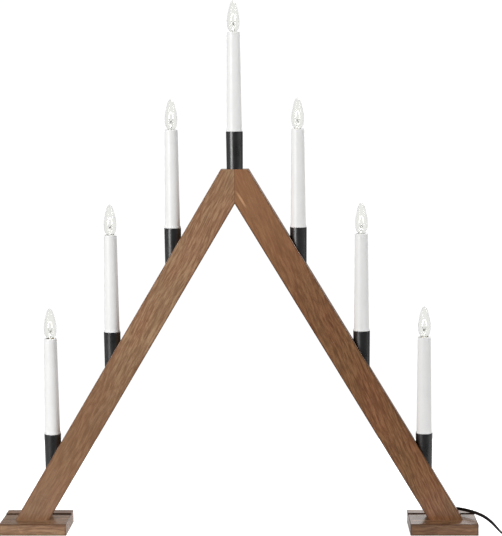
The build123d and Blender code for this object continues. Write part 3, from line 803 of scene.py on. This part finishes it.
def blowBulb(spotName, material):
    outer = smoothProfile(bulbGlass["profile"])
    wall, around = bulbGlass["wall"], bulbGlass["around"]
    inner = []
    for radius, height in outer:
        drop = wall if radius < bulbGlass["tipRadius"] else 0
        inner.append((max(radius - wall, bulbGlass["leastRadius"]), height - drop))
    outside = latheProfile(outer, around, tipUp=bulbGlass["tip"])
    inside = latheProfile(inner, around, tipUp=bulbGlass["tip"] - wall)
    count = len(outside[0])
    points = outside[0] + inside[0]
    faces = outside[1] + [tuple(index + count for index in face[::-1]) for face in inside[1]]
    for step in range(around):
        after = (step + 1) % around
        faces.append((after, step, step + count, after + count))
    place = bulbPlace(spotName)
    piece = meshPiece("bulbGlass_" + spotName, [place + p * millimetre for p in points], faces, [material],
                      uvs=outside[2] + inside[2])
    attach(piece, "bulb_" + spotName)
    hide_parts("bulb_glass_" + spotName)


bulbClear = clearGlass()
for spotName in spots:
    blowBulb(spotName, bulbClear)
print("bulbs blown")


# Winding that follows a path: the filament's coil and the cap's thread
def buildWinding():
    group = bpy.data.node_groups.new("windAlongPath", "GeometryNodeTree")
    for label, kind in (("Path", "NodeSocketGeometry"), ("Turns", "NodeSocketFloat"),
                        ("Winding Radius", "NodeSocketFloat"), ("Wire Radius", "NodeSocketFloat"),
                        ("Steps", "NodeSocketInt"), ("Sides", "NodeSocketInt"), ("Material", "NodeSocketMaterial")):
        group.interface.new_socket(label, in_out="INPUT", socket_type=kind)
    group.interface.new_socket("Wire", in_out="OUTPUT", socket_type="NodeSocketGeometry")
    given = addNode(group, "NodeGroupInput").outputs
    path = addNode(group, "GeometryNodeResampleCurve", {"Curve": given["Path"], "Count": given["Steps"]}, mode="COUNT")
    along = addNode(group, "GeometryNodeSplineParameter").outputs["Factor"]
    turned = addNode(group, "ShaderNodeMath", {0: along, 1: given["Turns"]}, operation="MULTIPLY").outputs[0]
    angle = addNode(group, "ShaderNodeMath", {0: turned, 1: 2 * math.pi}, operation="MULTIPLY").outputs[0]
    normal = addNode(group, "GeometryNodeInputNormal").outputs[0]
    tangent = addNode(group, "GeometryNodeInputTangent").outputs[0]
    across = addNode(group, "ShaderNodeVectorMath", {0: tangent, 1: normal}, operation="CROSS_PRODUCT").outputs[0]
    parts = []
    for direction, wave in ((normal, "COSINE"), (across, "SINE")):
        share = addNode(group, "ShaderNodeMath", {0: angle}, operation=wave).outputs[0]
        scaled = addNode(group, "ShaderNodeVectorMath", {0: direction, "Scale": share}, operation="SCALE")
        parts.append(scaled.outputs[0])
    spoke = addNode(group, "ShaderNodeVectorMath", {0: parts[0], 1: parts[1]}, operation="ADD").outputs[0]
    offset = addNode(group, "ShaderNodeVectorMath", {0: spoke, "Scale": given["Winding Radius"]},
                     operation="SCALE").outputs[0]
    wound = addNode(group, "GeometryNodeSetPosition", {"Geometry": path.outputs[0], "Offset": offset})
    section = addNode(group, "GeometryNodeCurvePrimitiveCircle", {"Resolution": given["Sides"],
                                                                  "Radius": given["Wire Radius"]})
    wire = addNode(group, "GeometryNodeCurveToMesh", {"Curve": wound.outputs[0], "Profile Curve": section.outputs[0],
                                                      "Fill Caps": True})
    real = addNode(group, "GeometryNodeRealizeInstances", {"Geometry": wire.outputs[0]})
    dressed = addNode(group, "GeometryNodeSetMaterial", {"Geometry": real.outputs[0], "Material": given["Material"]})
    leave = addNode(group, "NodeGroupOutput")
    group.links.new(dressed.outputs[0], leave.inputs["Wire"])
    return group


def windWire(group, path, settings):
    # the points and faces of a wire wound round a path, in the path's own frame
    curve = bpy.data.curves.new("windingPath", "CURVE")
    curve.dimensions = "3D"
    spline = curve.splines.new("POLY")
    spline.points.add(len(path) - 1)
    for point, place in zip(spline.points, path):
        point.co = (*place, 1.0)
    holder = bpy.data.objects.new("windingPath", curve)
    scene.collection.objects.link(holder)
    modifier = holder.modifiers.new("winding", "NODES")
    modifier.node_group = group
    for item in group.interface.items_tree:
        if item.item_type == "SOCKET" and item.in_out == "INPUT" and item.name in settings:
            modifier[item.identifier] = settings[item.name]
    bpy.context.view_layer.update()
    drawn = bpy.data.meshes.new_from_object(holder.evaluated_get(bpy.context.evaluated_depsgraph_get()))
    points = [vertex.co.copy() for vertex in drawn.vertices]
    faces = [tuple(face.vertices) for face in drawn.polygons]
    bpy.data.objects.remove(holder)
    bpy.data.curves.remove(curve)
    bpy.data.meshes.remove(drawn)
    return points, faces, [(0.0, point.z) for point in points]


# Bulb mounts and caps, in millimetres from the candle tube's top edge
bulbMount = {
    "stem": ((3.3, -6.0), (3.3, -5.4), (2.3, -4.4), (1.6, -3.5), (1.6, 2.0), (1.55, 6.0), (1.1, 8.6), (0.55, 10.9)),
    "stemTip": 11.2,
    "stemSides": 20,
    "stemShades": ((226, 226, 224), (238, 238, 236)),
    "stemGloss": 0.2,
    "hazeScale": 900.0,
    "pinch": 6.2,
    "pinchFade": 1.2,
    "pinchDepth": 0.9,
    "pinchShade": (148, 147, 145),
    "leads": ((1.0, 5.6), (1.3, 8.4), (1.9, 10.9), (2.4, 12.8)),
    "lead": {"Turns": 0.0, "Winding Radius": 0.0, "Wire Radius": 0.22, "Steps": 10, "Sides": 8},
    "archSteps": 60,
    "archReach": 2.4,
    "archFoot": 12.8,
    "archTop": 20.9,
    "coil": {"Turns": 34.0, "Winding Radius": 0.27, "Wire Radius": 0.085, "Steps": 420, "Sides": 6},
    "coilShade": (120, 120, 118),
    "heatScale": 700.0,
    "glow": 3.0,
    "glowTones": ((1.0, 0.93, 0.8, 1.0), (1.0, 0.98, 0.92, 1.0)),
}
screwCap = {
    "shell": ((1.9, -12.0), (2.15, -11.6), (2.2, -10.9), (3.6, -9.9), (4.3, -9.6), (4.42, -9.2), (4.42, -1.6),
              (4.55, -1.2), (4.7, -1.0), (4.7, -0.8), (4.25, -0.8), (4.25, -9.2)),
    "sides": 40,
    "floor": -9.2,
    "pipEnd": -12.2,
    "threadFrom": -8.9,
    "threadTo": -2.0,
    "pitch": 1.814,
    "thread": {"Winding Radius": 4.28, "Wire Radius": 0.4, "Steps": 150, "Sides": 10},
}


def stemGlass():
    # pale where the glass is hollow, darker in the pinch that holds the leads; the UV map's V is the height
    material, tree, shader = startMaterial("bulbStem")
    place = addNode(tree, "ShaderNodeTexCoord")
    haze = addNode(tree, "ShaderNodeTexNoise", {"Vector": place.outputs["Object"], "Scale": bulbMount["hazeScale"],
                                                  "Detail": 2.0})
    height = addNode(tree, "ShaderNodeSeparateXYZ", {0: place.outputs["UV"]}).outputs["Y"]
    pinch = fade(tree, height, bulbMount["pinch"] + bulbMount["pinchFade"], bulbMount["pinch"])
    thin, thick = (tone(*shade) for shade in bulbMount["stemShades"])
    pale = ramp(tree, haze.outputs["Fac"], ((0.3, thin), (0.7, thick)))
    colour = blend(tree, pinch, bulbMount["pinchDepth"], pale, tone(*bulbMount["pinchShade"]))
    tree.links.new(colour, shader.inputs["Base Color"])
    shader.inputs["Roughness"].default_value = bulbMount["stemGloss"]
    return material


def glowingWire():
    material, tree, shader = startMaterial("filamentGlow")
    spot = addNode(tree, "ShaderNodeTexCoord").outputs["Object"]
    heat = addNode(tree, "ShaderNodeTexNoise", {"Vector": spot, "Scale": bulbMount["heatScale"]})
    cooler, hotter = bulbMount["glowTones"]
    colour = ramp(tree, heat.outputs["Fac"], ((0.3, cooler), (0.7, hotter)))
    tree.links.new(colour, shader.inputs["Emission Color"])
    shader.inputs["Base Color"].default_value = tone(*bulbMount["coilShade"])
    shader.inputs["Emission Strength"].default_value = bulbMount["glow"]
    return material


def joinParts(parts):
    points, faces, slots, uvs = [], [], [], []
    for index, (partPoints, partFaces, partUvs) in parts:
        start = len(points)
        points += partPoints
        faces += [tuple(corner + start for corner in face) for face in partFaces]
        slots += [index] * len(partFaces)
        uvs += partUvs
    return points, faces, slots, uvs


def placeBulbPart(name, spotName, parts, materials, node):
    points, faces, slots, uvs = joinParts(parts)
    place = bulbPlace(spotName)
    piece = meshPiece(name + "_" + spotName, [place + p * millimetre for p in points], faces, materials, uvs=uvs)
    for face, index in zip(piece.data.polygons, slots):
        face.material_index = index
    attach(piece, "bulb_" + spotName)
    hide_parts(node + "_" + spotName)


def mountParts(mount, group):
    # the number before each shape is its place in mountMaterials
    stem = latheProfile(smoothProfile(mount["stem"], 2), mount["stemSides"], tipUp=mount["stemTip"],
                        tipDown=mount["stem"][0][1])
    parts = [(0, stem)]
    for side in (-1, 1):
        lead = [(side * x, 0, z) for x, z in smoothProfile(mount["leads"])]
        parts.append((1, windWire(group, lead, mount["lead"])))
    rise, steps = mount["archTop"] - mount["archFoot"], mount["archSteps"]
    arch = []
    for step in range(steps + 1):
        angle = math.pi * step / steps
        arch.append((mount["archReach"] * math.cos(angle), 0, mount["archFoot"] + rise * math.sin(angle)))
    parts.append((2, windWire(group, arch, mount["coil"])))
    return parts


def capParts(cap, group):
    shell = latheProfile(cap["shell"], cap["sides"], tipUp=cap["floor"], tipDown=cap["pipEnd"])
    thread = dict(cap["thread"], Turns=(cap["threadTo"] - cap["threadFrom"]) / cap["pitch"])
    path = [(0, 0, cap["threadFrom"]), (0, 0, cap["threadTo"])]
    return [(0, shell), (0, windWire(group, path, thread))]


winding = buildWinding()
mountMaterials = [stemGlass(), screwSteel, glowingWire()]
mountShape = mountParts(bulbMount, winding)
capShape = capParts(screwCap, winding)
for spotName in spots:
    placeBulbPart("bulbMount", spotName, mountShape, mountMaterials, "bulb_mount")
    placeBulbPart("bulbCap", spotName, capShape, [capBrass], "bulb_cap")
print("mounts and caps done")

# Floor, lights and surroundings
studio = {
    "floorColour": 0.82,
    "floorDrift": 0.02,
    "floorCloud": 3.0,
    "floorGloss": 0.2,
    "floorGlow": 0.8,    # seen by the camera only, so that the floor stays white
    "floorEdges": ((-0.62, 0.78), (-0.2, 0.5)),
    "seenWhite": 1.05,
    "around": 0.2,
    "behind": 1.0,       # above the horizon and rather to the right, so that the cups' sides stay dark
    "behindSide": ((0.2, 0.98, 0), 0.85, 0.955),
    "behindHeight": ((0, 0, 1), 0.08, 0.2),
    "above": 0.15,
    "inFront": 0.1,      # the dark room behind the camera
    "glint": 1.5,        # a bright patch behind the right foot, mirrored in its top
    "patches": {         # the way each one lies, and the shares of it where it begins and is full
        "above": ((0, 0, 1), 0.4, 0.75),
        "inFront": ((0.29, -0.957, 0), 0.35, 0.75),
        "glint": ((0.13, 0.951, 0.28), 0.974, 0.9945),
    },
    "lamps": {
        "key": {"place": (-1.30, -1.44, 0.95), "aim": (0, 0, 0.5), "size": (0.82, 1.75), "power": 41.0},
        "fill": {"place": (2.30, -0.62, 1.50), "aim": (0, 0, 0.4), "size": (1.8, 0.85), "power": 46.0},
        "rear": {"place": (0.70, 1.70, 1.70), "aim": (0, 0, 0.3), "size": (1.2, 0.8), "power": 15.0},
    },
}


def layFloor(look):
    material, tree, shader = startMaterial("paleFloor")
    spot = addNode(tree, "ShaderNodeTexCoord").outputs["Object"]
    cloud = addNode(tree, "ShaderNodeTexNoise", {"Vector": spot, "Scale": look["floorCloud"]})
    shade = look["floorColour"]
    colour = ramp(tree, cloud.outputs["Fac"], ((0.0, grey(shade)), (1.0, grey(shade + look["floorDrift"]))))
    seen = addNode(tree, "ShaderNodeLightPath").outputs["Is Camera Ray"]
    glow = addNode(tree, "ShaderNodeMath", {0: seen, 1: look["floorGlow"]}, operation="MULTIPLY").outputs[0]
    tree.links.new(colour, shader.inputs["Base Color"])
    tree.links.new(glow, shader.inputs["Emission Strength"])
    shader.inputs["Emission Color"].default_value = grey(1.0)
    shader.inputs["Roughness"].default_value = look["floorGloss"]
    (left, right), (front, back) = look["floorEdges"]
    floor = meshPiece("paleFloor", [(left, front, 0), (right, front, 0), (right, back, 0), (left, back, 0)],
                      [(0, 1, 2, 3)], [material])


def lightSurround(look):
    world = bpy.data.worlds.new("whiteSurround")
    scene.world = world
    world.use_nodes = True
    tree = world.node_tree
    tree.nodes.clear()
    way = addNode(tree, "ShaderNodeTexCoord").outputs["Generated"]

    def towards(axis, start, full):
        share = addNode(tree, "ShaderNodeVectorMath", {0: way, 1: axis}, operation="DOT_PRODUCT").outputs["Value"]
        return addNode(tree, "ShaderNodeMapRange", {"Value": share, "From Min": start, "From Max": full},
                       interpolation_type="SMOOTHSTEP").outputs[0]

    raised = addNode(tree, "ShaderNodeMath", {0: towards(*look["behindSide"]), 1: towards(*look["behindHeight"])},
                     operation="MULTIPLY").outputs[0]
    path = addNode(tree, "ShaderNodeLightPath").outputs
    layers = [(raised, look["behind"])]
    layers += [(towards(*place), look[part]) for part, place in look["patches"].items()]
    layers += [(path["Is Transmission Ray"], look["behind"]), (path["Is Camera Ray"], look["seenWhite"])]
    level = look["around"]
    for share, brightness in layers:
        level = addNode(tree, "ShaderNodeMix", {"Factor": share, "A": level, "B": brightness}).outputs[0]
    sky = addNode(tree, "ShaderNodeBackground", {"Color": grey(1.0), "Strength": level})
    out = addNode(tree, "ShaderNodeOutputWorld")
    tree.links.new(sky.outputs[0], out.inputs["Surface"])


def softLight(name, look):
    data = bpy.data.lights.new(name, "AREA")
    data.shape = "RECTANGLE"
    data.size, data.size_y = look["size"]
    data.energy = look["power"]
    lamp = bpy.data.objects.new(name, data)
    scene.collection.objects.link(lamp)
    aim = (Vector(look["aim"]) - Vector(look["place"])).to_track_quat("-Z", "Y")
    lamp.matrix_world = Matrix.Translation(look["place"]) @ aim.to_matrix().to_4x4()


layFloor(studio)
lightSurround(studio)
for lampName, lampLook in studio["lamps"].items():
    softLight(lampName + "Light", lampLook)
scene.view_settings.view_transform = "Standard"
print("studio lit")
